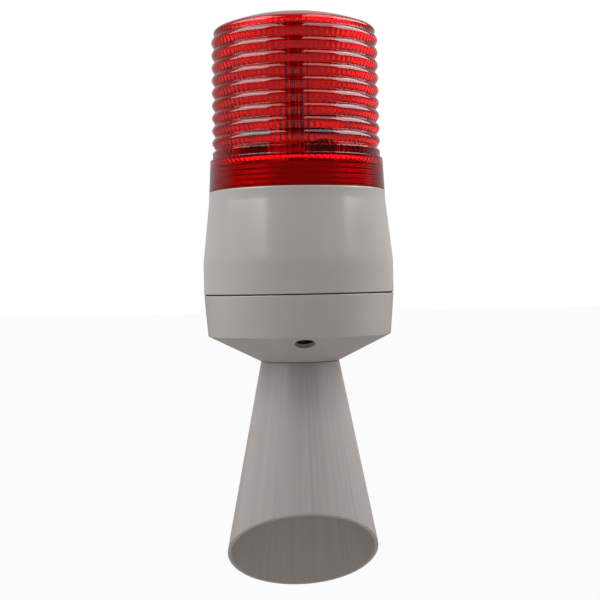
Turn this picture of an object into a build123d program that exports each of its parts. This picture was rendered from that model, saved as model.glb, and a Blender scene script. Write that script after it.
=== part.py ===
from build123d import *

import os
from math import asin, cos, radians, sin, tan

# Wall-mounted audible and visual alarm siren.
#
# A red ribbed lens screws onto the top of a grey barrel-shaped housing. Under the housing a grey horn
# with an oblique mouth points down and throws the sound forwards. Inside are a horn driver over the
# horn, a control board under the housing's deck, and a column of LEDs on a board inside the lens.
#
# Millimetres. The origin is the centre of the bracket's four wall holes, on the wall's surface. +Z is
# up, the wall is on the +Y side, and the siren faces -Y. All turned pieces share one upright axis.

# ---------------------------------------------------------------- driving dimensions
AXIS_Y = -100.0  # the siren's upright axis, measured from the wall
WALL = 3.0  # wall of the mouldings
EDGE = 0.6  # rounding of the mouldings' outer edges
BORED_WALL = 12.0  # a cutter this long passes right through any wall
GAP = 0.3  # room between pieces that move past each other
RUNNING = 0.1  # radial clearance of the horn's bearing

# upper housing
BODY_RADIUS = 75.0
BODY_TOP_RADIUS = 69.6
SEAM_Z = -36.0  # underside of the upper housing
SHOULDER_Z = 44.5  # ledge that the lens's seal stands on
BARREL_LOW_Z = -11.0  # the barrel starts to narrow here
BARREL_HIGH_Z = 38.0  # and stops here
NECK_RADIUS = 65.9  # the lens screws over this
NECK_TOP_Z = 62.0
BARREL_BLEND = 50.0  # radius of the soft bends where the barrel narrows
NECK_BORE = 61.5
DECK_Z = 49.0  # underside of the deck that closes the barrel
DECK_TOP_Z = 52.0

# lower housing
SEAL_THICKNESS = 0.9
SKIRT_TOP_RADIUS = 74.9
SKIRT_RADIUS = 72.2
SKIRT_Z = -68.9
NECK_FACE_RADIUS = 31.6  # flat ring that the horn turns against
NECK_FACE_Z = -89.1
LIP_RADIUS = 71.7  # lip that stands up inside the upper housing
LIP_TOP_Z = -31.0
LIP_ROOT = 10.0  # from the seam down to where the lip grows out of the skirt
DRIVER_SEAT_Z = -66.8
DRIVER_SEAT_RADIUS = 40.0
LEDGE_Z = -76.5  # top of the horn's bearing
LEDGE_RADIUS = 33.5
CABLE_HOLE_RADIUS = 7.8
CABLE_HOLE_FORWARD = 62.6  # from the siren's axis
FLOOR_THICKNESS = 3.5

# lens
COLLAR_Z = 44.9
COLLAR_RADIUS = 69.4
COLLAR_BORE = 66.3
COLLAR_TOP_RADIUS = 68.2
COLLAR_TOP_Z = 69.4
SEAL_INSET = 1.8  # the seal stops this far inside the collar
BAND_RADIUS = 66.2
BAND_TOP_Z = 75.0
LENS_BORE = 61.2
RIB_COUNT = 9
RIB_PITCH = 9.9
FIRST_RIB_Z = 83.4
RIB_RADIUS = 66.6  # crest of the lowest rib, before it is rounded
VALLEY_RADIUS = 63.4  # valley under the lowest rib, before it is rounded
RIB_TAPER = 0.085  # each rib is this much smaller than the one below it
RIB_ABOVE = 4.1  # from a crest up to the valley above it; the rest of the pitch is below the crest
RIB_NOSE = 1.3
CROWN_Z = 184.8
CROWN_EDGE_RADIUS = 58.4
CROWN_EDGE_Z = 173.9
CROWN_SIDE = (63.9, 169.2)  # widest point under the crown: radius, height
CROWN_ROUND = (62.4, 172.0)  # middle of the rounded edge from there to the crown
CROWN_THICKNESS = 2.6
CROWN_INNER_RADIUS = 56.0
CROWN_INNER_ROUND = (59.6, 170.1)
BORE_TOP_Z = 167.0

# horn
HORN_TOP_RADIUS = 30.9
HORN_HALF_ANGLE = 11.07  # degrees
HORN_WALL = 3.1
MOUTH_AXIS_Z = -238.0  # where the mouth's plane crosses the axis
MOUTH_TILT = 33.8  # degrees
SPIGOT_RADIUS = 27.5
SPIGOT_TOP_Z = -72.0
THROAT_RADIUS = 23.5
THROAT_Z = -88.0
THROAT_FLARE = 12.0  # the throat opens to the cone over this height
RING_GROOVE_Z = -75.0  # top of the retaining ring's groove
RING_GROOVE_DEPTH = 1.3
RING_RADIUS = 31.0
O_RING_Z = -82.0
O_RING_RADIUS = 0.8

# wall bracket and its screws
WEB_WIDTH = 64.0
WEB_HEIGHT = 56.0
PAD_DEPTH = 77.0  # from the siren's axis back to the flat pad
PAD_ROOT = 58.0  # the pad starts inside the barrel's wall, this far from the axis
PAD_CORNER = 4.0
SHEET = 2.5
SHEET_BEND = 3.5
EAR_REACH = 58.0
WALL_HOLE_X = 45.0
WALL_HOLE_Z = 18.0
WALL_HOLE_RADIUS = 3.5
PAD_SCREW_Z = 16.0
PAD_SCREW = 2.5  # M5
PAD_SCREW_HEX = 4.6
PAD_SCREW_HEAD = 3.5
PAD_SCREW_HOLE = 2.75
PAD_WASHER = 5.2
PAD_WASHER_THICKNESS = 1.0
PAD_INSERT = 3.6
PAD_INSERT_LENGTH = 9.5
PAD_BOSS = 6.5
PAD_BOSS_LENGTH = 14.0

# screws: radii of the thread, of the hole that clears it, and of the head
TIE_THREAD = 2.0  # M4
TIE_HOLE = 2.25
TIE_HEAD = 3.9
TIE_BOSS_RADIUS = 5.0
TIE_BOSS_LENGTH = 45.0
TIE_REACH = 14.0  # from the seam down to the tie screws' tips
TIE_INSERT = 3.2
TIE_INSERT_BORE = 2.1
TIE_INSERT_LENGTH = 8.0
THREAD = 1.5  # M3
HOLE = 1.7
HEAD = 2.8
EAR_HEAD = 3.2

# circles of screws and pillars: radius from the axis, and angles in degrees from +X
TIE_CIRCLE = 57.0
TIE_ANGLES = (90, 210, 330)
STANDOFF_CIRCLE = 40.0
STANDOFF_ANGLES = (30, 150, 270)
EAR_CIRCLE = 46.0
EAR_ANGLES = (45, 135, 225, 315)
PILLAR_CIRCLE = 45.0
PILLAR_ANGLES = (50, 130, 230, 310)
STANDOFF_RADIUS = 3.5
PILLAR_RADIUS = 3.4

# horn driver; its heights are measured up from the underside of its frame
GASKET_THICKNESS = 0.8
FRAME_RADIUS = 41.0
FRAME_BORE = 24.6
FRAME_FLOOR = 4.0
FRAME_HEIGHT = 14.0
FRAME_EAR = 4.8
DRIVER_PILLAR = 4.5
PLUG_RADIUS = 15.0
STRUT_THICKNESS = 3.2
PLATE_RADIUS = 37.8  # surround, clamping ring and top plate
SURROUND_TOP = 4.7
CLAMP_TOP = 10.0
PLATE_TOP = 14.5
MAGNET_TOP = 26.5
YOKE_TOP = 31.0
COVER_TOP = 35.0
DIAPHRAGM_RADIUS = 28.6
FORMER_RADIUS = 19.0
FORMER_HEIGHT = 10.0
DIAPHRAGM_THICKNESS = 0.5
COIL_RADIUS = 19.8
DOME_HEIGHT = 2.0
POLE_RADIUS = 17.9

# control board, its parts' places measured from the siren's axis
BOARD_THICKNESS = 1.6
BOARD_Z = 31.0  # upper face of the control board
BOARD_RADIUS = 51.0
WIRE_HOLE_Y = 20.0
TRANSFORMER = (-22, 10)
CORE_WIDTH = 30.0
CORE_DEPTH = 26.0
CORE_DROP = 25.0  # from the board down to the core's lowest face
CORE_LEG = 7.0
WINDING_DEPTH = 30.0
CAPACITOR_PLACES = ((8, 28), (22, 26), (16, 12))
CAPACITOR_RADIUS = 6.0
CAPACITOR_HEIGHT = 20.0
SINK = (34, -4)
SINK_LENGTH = 34.0
SINK_PLATE = 3.0
FIN_REACH = 9.0
FIN_PITCH = 5.0
FIN_COUNT = 7
AMPLIFIER_THICKNESS = 4.6
CHIP = (2, -10)
CHIP_WIDTH = 9.0
CHIP_LENGTH = 26.0
PIN_PITCH = 2.54
TERMINALS = (0, -40)
TERMINAL_COUNT = 6
TERMINAL_PITCH = 6.2
TERMINAL_DEPTH = 11.0
TERMINAL_HEIGHT = 13.0
TRIMMER = (-34, -22)
TRIMMER_SIDE = 10.0
KNOB_RADIUS = 3.8
SWITCH = (22, -28)
SMALL_PART_HEIGHT = 5.0  # of the trimmer and the switch

# lamp
LAMP_BOARD_Z = 60.0  # underside of the lamp board
LAMP_BOARD_RADIUS = 58.5
FLASH_PLACES = ((-33, -24), (17, -34), (45, 4))
FLASH_RADIUS = 11.0
FLASH_HEIGHT = 26.0
COLUMN_BASE_RADIUS = 13.0
COLUMN_BASE_HEIGHT = 7.0
COLUMN_TOP_Z = 160.0
COLUMN_SIDE = 9.0
STRIP_THICKNESS = 1.2
LED_ROWS = 6
LED_SIDE = 5.0
FIRST_LED = 15.0  # from the lamp board up to the lowest row
LAST_LED = 7.0  # from the highest row up to the column's top

PROFILE = Plane(origin=(0, AXIS_Y, 0), x_dir=(1, 0, 0), z_dir=(0, -1, 0))  # (radius, height)
TURN = Axis((0, AXIS_Y, 0), (0, 0, 1))
PAD_FACE = Plane(origin=(0, AXIS_Y + PAD_DEPTH, 0), x_dir=(1, 0, 0), z_dir=(0, -1, 0))

os.makedirs("parts", exist_ok=True)


def level(z):
    """The horizontal plane at height z, centred on the siren's axis."""
    return Plane(origin=(0, AXIS_Y, z))


def corner(radius, height):
    """The vertex of the sketch in hand that is nearest to this radius and height."""
    return vertices().sort_by_distance((radius, height, 0))[0]


def around(radius, angles):
    """Places on a circle round the siren's axis."""
    return [(radius * cos(radians(a)), radius * sin(radians(a))) for a in angles]


def turned(*points):
    """A solid of revolution round the siren's axis, from its closed outline of (radius, height)."""
    with BuildPart() as piece:
        with BuildSketch(PROFILE):
            with BuildLine():
                Polyline(*points, close=True)
            make_face()
        revolve(axis=TURN)
    return piece


def ring(inner, outer, bottom, top):
    """A flat ring round the siren's axis."""
    return turned((inner, bottom), (outer, bottom), (outer, top), (inner, top))


def posts(places, radius, bottom, top, bore=0.0):
    """Upright round posts or tubes at places measured from the siren's axis."""
    with BuildPart() as piece:
        with BuildSketch(level(bottom)):
            with Locations(*places):
                Circle(radius)
                if bore:
                    Circle(bore, mode=Mode.SUBTRACT)
        extrude(amount=top - bottom)
    return piece


def screws(places, shaft, head, seat, length, down=True):
    """Upright cross-slotted pan-head screws, their heads standing on the height seat."""
    sense = -1 if down else 1
    head_height = 2.6
    with BuildPart() as piece:
        with BuildSketch(level(seat)):
            with Locations(*places):
                Circle(shaft)
        extrude(amount=sense * length)
        with BuildSketch(level(seat)):
            with Locations(*places):
                Circle(head)
        extrude(amount=-sense * head_height, taper=12)
        with BuildSketch(level(seat - sense * head_height)):
            with Locations(*places):
                Rectangle(head * 1.5, head * 0.28)
                Rectangle(head * 0.28, head * 1.5)
        extrude(amount=sense * head_height * 0.6, mode=Mode.SUBTRACT)
    return piece


def block(x, y, width, depth, bottom, top):
    """An upright box, its centre x, y measured from the siren's axis."""
    with BuildPart() as piece:
        with BuildSketch(level(bottom)):
            with Locations((x, y)):
                Rectangle(width, depth)
        extrude(amount=top - bottom)
    return piece


def dome_arc(edge_radius, edge_z, top_z):
    """Arc of a sphere centred on the siren's axis, from its edge to its top."""
    sag = top_z - edge_z
    sphere = (edge_radius**2 + sag**2) / (2 * sag)
    half = asin(edge_radius / sphere) / 2
    middle = (sphere * sin(half), top_z - sphere * (1 - cos(half)))
    return ThreePointArc((edge_radius, edge_z), middle, (0, top_z))


def save(piece, name):
    """Labels a finished piece and writes it as one node."""
    piece.part.label = name
    export_step(piece.part, f"parts/{name}.step")


FLOOR_SLOPE = (SKIRT_Z - NECK_FACE_Z) / (SKIRT_RADIUS - NECK_FACE_RADIUS)
FLOOR_RISE = FLOOR_THICKNESS * (1 + FLOOR_SLOPE**2) ** 0.5  # the floor's thickness, measured upright


def floor_z(radius):
    """Height of the lower housing's conical underside at a radius."""
    return SKIRT_Z - (SKIRT_RADIUS - radius) * FLOOR_SLOPE


# ---------------------------------------------------------------- upper housing
# Barrel with a deck near its top, a neck for the lens, and a flat pad behind for the bracket.
with BuildPart() as upper_housing:
    with BuildSketch(PROFILE):
        with BuildLine():
            outside = Polyline(
                (0, DECK_TOP_Z),
                (NECK_BORE, DECK_TOP_Z),
                (NECK_BORE, NECK_TOP_Z),
                (NECK_RADIUS, NECK_TOP_Z),
                (NECK_RADIUS, SHOULDER_Z),
                (BODY_TOP_RADIUS, SHOULDER_Z),
            )
            barrel = FilletPolyline(
                outside @ 1,
                (BODY_TOP_RADIUS, BARREL_HIGH_Z),
                (BODY_RADIUS, BARREL_LOW_Z),
                (BODY_RADIUS, SEAM_Z),
                radius=BARREL_BLEND,
            )
            Polyline(
                barrel @ 1,
                (BODY_RADIUS - WALL, SEAM_Z),
                (BODY_RADIUS - WALL, BARREL_LOW_Z),
                (BODY_TOP_RADIUS - WALL, BARREL_HIGH_Z),
                (BODY_TOP_RADIUS - WALL, SHOULDER_Z - WALL),
                (NECK_BORE, DECK_Z),
                (0, DECK_Z),
                (0, DECK_TOP_Z),
            )
        make_face()
        fillet(corner(BODY_RADIUS, SEAM_Z), EDGE)
        fillet(corner(BODY_TOP_RADIUS, SHOULDER_Z), 2 * EDGE)
        fillet(corner(NECK_RADIUS, NECK_TOP_Z), EDGE)
    revolve(axis=TURN)
    # the bracket's pad and its screw bosses, outside and inside the barrel
    with BuildSketch(PAD_FACE):
        RectangleRounded(WEB_WIDTH, WEB_HEIGHT, PAD_CORNER)
    extrude(amount=PAD_DEPTH - PAD_ROOT)
    fillet(upper_housing.faces().sort_by(Axis.Y)[-1].edges(), EDGE)
    with BuildSketch(PROFILE):
        with BuildLine():
            Polyline(
                (0, SEAM_Z),
                (BODY_RADIUS - WALL, SEAM_Z),
                (BODY_RADIUS - WALL, BARREL_LOW_Z),
                (BODY_TOP_RADIUS - WALL, BARREL_HIGH_Z),
                (0, BARREL_HIGH_Z),
                close=True,
            )
        make_face()
    revolve(axis=TURN, mode=Mode.SUBTRACT)
    with BuildSketch(PAD_FACE):
        with GridLocations(1, 2 * PAD_SCREW_Z, 1, 2):
            Circle(PAD_BOSS)
    extrude(amount=PAD_BOSS_LENGTH)
    with BuildSketch(PAD_FACE):
        with GridLocations(1, 2 * PAD_SCREW_Z, 1, 2):
            Circle(PAD_INSERT)
    extrude(amount=PAD_BOSS_LENGTH - WALL, mode=Mode.SUBTRACT)
    # bosses for the tie screws, and standoffs for the lamp board
    with BuildSketch(level(SEAM_Z)):
        with Locations(*around(TIE_CIRCLE, TIE_ANGLES)):
            Circle(TIE_BOSS_RADIUS)
    extrude(amount=DECK_Z - SEAM_Z)
    with BuildSketch(level(SEAM_Z)):
        with Locations(*around(TIE_CIRCLE, TIE_ANGLES)):
            Circle(TIE_HOLE)
    extrude(amount=DECK_TOP_Z - SEAM_Z, mode=Mode.SUBTRACT)
    with BuildSketch(level(DECK_TOP_Z)):
        with Locations(*around(STANDOFF_CIRCLE, STANDOFF_ANGLES)):
            Circle(STANDOFF_RADIUS)
    extrude(amount=LAMP_BOARD_Z - DECK_TOP_Z)
    with BuildSketch(level(LAMP_BOARD_Z)):
        with Locations(*around(STANDOFF_CIRCLE, STANDOFF_ANGLES)):
            Circle(THREAD)
    extrude(amount=DECK_TOP_Z - LAMP_BOARD_Z, mode=Mode.SUBTRACT)
    # holes in the deck for the control board's screws and the lamp's wires
    with BuildSketch(level(DECK_Z)):
        with Locations(*around(PILLAR_CIRCLE, PILLAR_ANGLES)):
            Circle(HOLE)
        with Locations((0, WIRE_HOLE_Y)):
            Circle(6)
    extrude(amount=DECK_TOP_Z - DECK_Z, mode=Mode.SUBTRACT)
save(upper_housing, "upper_housing")

# ---------------------------------------------------------------- lower housing
# Shallow cup with a conical underside, the horn's bearing in the middle, and the cable entry in front.
frame_z = DRIVER_SEAT_Z + GASKET_THICKNESS  # underside of the driver's frame
with BuildPart() as lower_housing:
    with BuildSketch(PROFILE):
        with BuildLine():
            Polyline(
                (SKIRT_TOP_RADIUS, SEAM_Z - SEAL_THICKNESS),
                (SKIRT_RADIUS, SKIRT_Z),
                (NECK_FACE_RADIUS, NECK_FACE_Z),
                (SPIGOT_RADIUS + RUNNING, NECK_FACE_Z),
                (SPIGOT_RADIUS + RUNNING, LEDGE_Z),
                (LEDGE_RADIUS, LEDGE_Z),
                (LEDGE_RADIUS, DRIVER_SEAT_Z),
                (DRIVER_SEAT_RADIUS, DRIVER_SEAT_Z),
                (DRIVER_SEAT_RADIUS, floor_z(DRIVER_SEAT_RADIUS) + FLOOR_RISE),
                (SKIRT_RADIUS - WALL, floor_z(SKIRT_RADIUS - WALL) + FLOOR_RISE),
                (LIP_RADIUS - 0.4, SEAM_Z - LIP_ROOT),
                (LIP_RADIUS - WALL, SEAM_Z - LIP_ROOT + 4),
                (LIP_RADIUS - WALL, LIP_TOP_Z),
                (LIP_RADIUS, LIP_TOP_Z),
                (LIP_RADIUS, SEAM_Z - SEAL_THICKNESS),
                close=True,
            )
        make_face()
        fillet(corner(SKIRT_TOP_RADIUS, SEAM_Z - SEAL_THICKNESS), EDGE)
        fillet(corner(SKIRT_RADIUS, SKIRT_Z), EDGE)
        fillet(corner(NECK_FACE_RADIUS, NECK_FACE_Z), EDGE)
    revolve(axis=TURN)
    # bosses for the tie screws and pillars for the driver's ears, trimmed to the cone outside
    with BuildSketch(level(SEAM_Z)):
        with Locations(*around(TIE_CIRCLE, TIE_ANGLES)):
            Circle(TIE_BOSS_RADIUS)
    extrude(amount=-TIE_BOSS_LENGTH)
    with BuildSketch(level(frame_z)):
        with Locations(*around(EAR_CIRCLE, EAR_ANGLES)):
            Circle(DRIVER_PILLAR)
    extrude(amount=NECK_FACE_Z - frame_z)
    with BuildSketch(PROFILE):
        with BuildLine():
            Polyline(
                (SKIRT_RADIUS, SKIRT_Z),
                (NECK_FACE_RADIUS, NECK_FACE_Z),
                (NECK_FACE_RADIUS, NECK_FACE_Z - 20),
                (SKIRT_RADIUS, NECK_FACE_Z - 20),
                close=True,
            )
        make_face()
    revolve(axis=TURN, mode=Mode.SUBTRACT)
    with BuildSketch(level(SEAM_Z)):
        with Locations(*around(TIE_CIRCLE, TIE_ANGLES)):
            Circle(TIE_INSERT)
    extrude(amount=-TIE_INSERT_LENGTH - 1, mode=Mode.SUBTRACT)
    with BuildSketch(level(SEAM_Z)):
        with Locations(*around(TIE_CIRCLE, TIE_ANGLES)):
            Circle(TIE_HOLE)
    extrude(amount=-TIE_REACH - 2, mode=Mode.SUBTRACT)
    with BuildSketch(level(frame_z)):
        with Locations(*around(EAR_CIRCLE, EAR_ANGLES)):
            Circle(THREAD)
    extrude(amount=-8, mode=Mode.SUBTRACT)
    # cable entry, square to the conical floor
    entry = Plane(
        origin=(0, AXIS_Y - CABLE_HOLE_FORWARD, floor_z(CABLE_HOLE_FORWARD)),
        x_dir=(1, 0, 0),
        z_dir=(0, -FLOOR_SLOPE, -1),
    )
    with BuildSketch(entry):
        Circle(CABLE_HOLE_RADIUS)
    extrude(amount=BORED_WALL, both=True, mode=Mode.SUBTRACT)
save(lower_housing, "lower_housing")

# ---------------------------------------------------------------- housing seal, tie screws, inserts
housing_seal = ring(LIP_RADIUS + GAP, SKIRT_TOP_RADIUS - 0.7, SEAM_Z - SEAL_THICKNESS, SEAM_Z)
save(housing_seal, "housing_seal")

tie_places = around(TIE_CIRCLE, TIE_ANGLES)
tie_screws = screws(tie_places, TIE_THREAD, TIE_HEAD, DECK_TOP_Z, DECK_TOP_Z - SEAM_Z + TIE_REACH)
save(tie_screws, "tie_screws")

insert_top = SEAM_Z - 0.5
tie_inserts = posts(tie_places, TIE_INSERT, insert_top - TIE_INSERT_LENGTH, insert_top, TIE_INSERT_BORE)
save(tie_inserts, "tie_inserts")

# ---------------------------------------------------------------- wall bracket
# Hat-shaped steel pressing: a web against the pad, two legs, and two ears flat on the wall.
web_y = AXIS_Y + PAD_DEPTH
with BuildPart() as wall_bracket:
    with BuildSketch(Plane.XY.offset(-WEB_HEIGHT / 2)):
        with BuildLine():
            FilletPolyline(
                (-EAR_REACH, -SHEET / 2),
                (-WEB_WIDTH / 2 + SHEET / 2, -SHEET / 2),
                (-WEB_WIDTH / 2 + SHEET / 2, web_y + SHEET / 2),
                (WEB_WIDTH / 2 - SHEET / 2, web_y + SHEET / 2),
                (WEB_WIDTH / 2 - SHEET / 2, -SHEET / 2),
                (EAR_REACH, -SHEET / 2),
                radius=SHEET_BEND,
            )
            offset(amount=SHEET / 2, kind=Kind.INTERSECTION)
        make_face()
    extrude(amount=WEB_HEIGHT)
    with BuildSketch(Plane.XZ):
        with GridLocations(2 * WALL_HOLE_X, 2 * WALL_HOLE_Z, 2, 2):
            Circle(WALL_HOLE_RADIUS)
    extrude(amount=SHEET, mode=Mode.SUBTRACT)
    with BuildSketch(PAD_FACE):
        with GridLocations(1, 2 * PAD_SCREW_Z, 1, 2):
            Circle(PAD_SCREW_HOLE)
    extrude(amount=-SHEET, mode=Mode.SUBTRACT)
save(wall_bracket, "wall_bracket")

with BuildPart() as bracket_screws:
    with BuildSketch(PAD_FACE.offset(-SHEET - PAD_WASHER_THICKNESS)):
        with GridLocations(1, 2 * PAD_SCREW_Z, 1, 2):
            Circle(PAD_SCREW)
    extrude(amount=SHEET + PAD_INSERT_LENGTH)
    with BuildSketch(PAD_FACE.offset(-SHEET - PAD_WASHER_THICKNESS)):
        with GridLocations(1, 2 * PAD_SCREW_Z, 1, 2):
            RegularPolygon(PAD_SCREW_HEX, 6)
    extrude(amount=-PAD_SCREW_HEAD)
save(bracket_screws, "bracket_screws")

with BuildPart() as bracket_washers:
    with BuildSketch(PAD_FACE.offset(-SHEET)):
        with GridLocations(1, 2 * PAD_SCREW_Z, 1, 2):
            Circle(PAD_WASHER)
            Circle(PAD_SCREW + 0.1, mode=Mode.SUBTRACT)
    extrude(amount=-PAD_WASHER_THICKNESS)
save(bracket_washers, "bracket_washers")

with BuildPart() as bracket_inserts:
    with BuildSketch(PAD_FACE):
        with GridLocations(1, 2 * PAD_SCREW_Z, 1, 2):
            Circle(PAD_INSERT)
            Circle(PAD_SCREW, mode=Mode.SUBTRACT)
    extrude(amount=PAD_INSERT_LENGTH)
save(bracket_inserts, "bracket_inserts")


# ---------------------------------------------------------------- lens and its seal
def rib_points():
    """Outline of the ribs, from the valley over the band to the valley under the crown."""
    points = [(VALLEY_RADIUS, FIRST_RIB_Z + RIB_ABOVE - RIB_PITCH)]
    for rib in range(RIB_COUNT):
        crest = FIRST_RIB_Z + rib * RIB_PITCH
        less = rib * RIB_TAPER
        points.append((RIB_RADIUS - less, crest))
        points.append((VALLEY_RADIUS - less, crest + RIB_ABOVE))
    return points


# Transparent red cap: collar over the neck, plain band, ribs, and a shallow domed crown.
with BuildPart() as lens:
    with BuildSketch(PROFILE):
        with BuildLine():
            collar = Polyline(
                (LENS_BORE, COLLAR_TOP_Z - 2),
                (COLLAR_BORE, COLLAR_TOP_Z - 5),
                (COLLAR_BORE, COLLAR_Z),
                (COLLAR_RADIUS, COLLAR_Z),
                (COLLAR_TOP_RADIUS, COLLAR_TOP_Z - 0.4),
                (BAND_RADIUS, COLLAR_TOP_Z),
                (BAND_RADIUS, BAND_TOP_Z),
            )
            ribs = FilletPolyline(collar @ 1, *rib_points(), CROWN_SIDE, radius=RIB_NOSE)
            ThreePointArc(ribs @ 1, CROWN_ROUND, (CROWN_EDGE_RADIUS, CROWN_EDGE_Z))
            dome_arc(CROWN_EDGE_RADIUS, CROWN_EDGE_Z, CROWN_Z)
            Line((0, CROWN_Z), (0, CROWN_Z - CROWN_THICKNESS))
            under = dome_arc(CROWN_INNER_RADIUS, CROWN_EDGE_Z - 1.9, CROWN_Z - CROWN_THICKNESS)
            inner = ThreePointArc(under @ 0, CROWN_INNER_ROUND, (LENS_BORE - 0.4, BORE_TOP_Z))
            Line(inner @ 1, collar @ 0)
        make_face()
    revolve(axis=TURN)
save(lens, "lens")

lens_seal = ring(NECK_RADIUS + GAP, COLLAR_RADIUS - SEAL_INSET, SHOULDER_Z, COLLAR_Z)
save(lens_seal, "lens_seal")

# ---------------------------------------------------------------- horn
# Conical horn cut off by an oblique plane, with a spigot that turns in the lower housing's bearing.
horn_growth = tan(radians(HORN_HALF_ANGLE))
horn_top_z = NECK_FACE_Z - GAP
horn_end_z = MOUTH_AXIS_Z - 70  # the cone runs past the mouth, and is then cut off
flare_z = horn_top_z - THROAT_FLARE
horn_end_radius = HORN_TOP_RADIUS + (horn_top_z - horn_end_z) * horn_growth
flare_radius = HORN_TOP_RADIUS + (horn_top_z - flare_z) * horn_growth - HORN_WALL
with BuildPart() as horn:
    with BuildSketch(PROFILE):
        with BuildLine():
            Polyline(
                (THROAT_RADIUS, SPIGOT_TOP_Z),
                (SPIGOT_RADIUS, SPIGOT_TOP_Z),
                (SPIGOT_RADIUS, RING_GROOVE_Z),
                (SPIGOT_RADIUS - RING_GROOVE_DEPTH, RING_GROOVE_Z),
                (SPIGOT_RADIUS - RING_GROOVE_DEPTH, LEDGE_Z + RUNNING),
                (SPIGOT_RADIUS, LEDGE_Z + RUNNING),
                (SPIGOT_RADIUS, O_RING_Z + 1),
                (SPIGOT_RADIUS - 2 * O_RING_RADIUS, O_RING_Z + 1),
                (SPIGOT_RADIUS - 2 * O_RING_RADIUS, O_RING_Z - 1),
                (SPIGOT_RADIUS, O_RING_Z - 1),
                (SPIGOT_RADIUS, horn_top_z),
                (HORN_TOP_RADIUS, horn_top_z),
                (horn_end_radius, horn_end_z),
                (horn_end_radius - HORN_WALL, horn_end_z),
                (flare_radius, flare_z),
                (THROAT_RADIUS, THROAT_Z),
                close=True,
            )
        make_face()
        fillet(corner(HORN_TOP_RADIUS, horn_top_z), EDGE)
    revolve(axis=TURN)
    mouth = Plane(
        origin=(0, AXIS_Y, MOUTH_AXIS_Z),
        x_dir=(1, 0, 0),
        z_dir=(0, -sin(radians(MOUTH_TILT)), -cos(radians(MOUTH_TILT))),
    )
    split(bisect_by=mouth, keep=Keep.BOTTOM)
    rim = horn.faces().sort_by(Axis((0, 0, 0), mouth.z_dir))[-1]
    fillet(rim.edges(), 2 * EDGE)
save(horn, "horn")

ring_bore = SPIGOT_RADIUS - RING_GROOVE_DEPTH + RUNNING
horn_retaining_ring = ring(ring_bore, RING_RADIUS, LEDGE_Z + 2 * RUNNING, RING_GROOVE_Z - RUNNING)
save(horn_retaining_ring, "horn_retaining_ring")

with BuildPart() as horn_o_ring:
    with BuildSketch(PROFILE):
        with Locations((SPIGOT_RADIUS - O_RING_RADIUS, O_RING_Z)):
            Circle(O_RING_RADIUS)
    revolve(axis=TURN)
save(horn_o_ring, "horn_o_ring")

# ---------------------------------------------------------------- horn driver
# Cast cup with four ears that are screwed down on the lower housing's pillars.
with BuildPart() as driver_frame:
    with BuildSketch(level(frame_z)):
        Circle(FRAME_RADIUS)
        with Locations(*around(EAR_CIRCLE, EAR_ANGLES)):
            Circle(FRAME_EAR)
        with PolarLocations(EAR_CIRCLE - FRAME_EAR, len(EAR_ANGLES), start_angle=EAR_ANGLES[0]):
            Rectangle(2 * FRAME_EAR, 2 * FRAME_EAR)
        with Locations(*around(EAR_CIRCLE, EAR_ANGLES)):
            Circle(THREAD + GAP, mode=Mode.SUBTRACT)
        Circle(FRAME_BORE, mode=Mode.SUBTRACT)
    extrude(amount=FRAME_FLOOR)
    with BuildSketch(level(frame_z)):
        Circle(FRAME_RADIUS)
        Circle(FRAME_RADIUS - WALL, mode=Mode.SUBTRACT)
    extrude(amount=FRAME_HEIGHT)
    with BuildSketch(level(SPIGOT_TOP_Z + 0.4)):
        Circle(SPIGOT_RADIUS)
        Circle(THROAT_RADIUS, mode=Mode.SUBTRACT)
    extrude(amount=frame_z - SPIGOT_TOP_Z - 0.4)
save(driver_frame, "driver_frame")

driver_gasket = ring(LEDGE_RADIUS + 0.5, DRIVER_SEAT_RADIUS - 0.5, DRIVER_SEAT_Z, frame_z)
save(driver_gasket, "driver_gasket")

driver_screws = screws(around(EAR_CIRCLE, EAR_ANGLES), THREAD, EAR_HEAD, frame_z + FRAME_FLOOR, 11.5)
save(driver_screws, "driver_screws")

# bullet on three struts, which spreads the sound evenly into the throat
plug_top = frame_z + STRUT_THICKNESS + 0.2
with BuildPart() as phase_plug:
    with BuildSketch(PROFILE):
        with BuildLine():
            Line((0, plug_top), (PLUG_RADIUS, plug_top))
            Spline((PLUG_RADIUS, plug_top), (12.5, plug_top - 11.4), (0, plug_top - 20.9))
            Line((0, plug_top - 20.9), (0, plug_top))
        make_face()
    revolve(axis=TURN)
    with BuildSketch(level(plug_top)):
        Circle(FRAME_BORE - 0.05)
        Circle(FRAME_BORE - 1.8, mode=Mode.SUBTRACT)
        with PolarLocations(18.5, 3, start_angle=90):
            Rectangle(9, 2)
    extrude(amount=-STRUT_THICKNESS)
save(phase_plug, "phase_plug")

surround = ring(DIAPHRAGM_RADIUS + 0.4, PLATE_RADIUS, frame_z + FRAME_FLOOR, frame_z + SURROUND_TOP)
save(surround, "diaphragm_surround")

clamp_ring = ring(32, PLATE_RADIUS, frame_z + SURROUND_TOP, frame_z + CLAMP_TOP)
save(clamp_ring, "clamp_ring")

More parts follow.
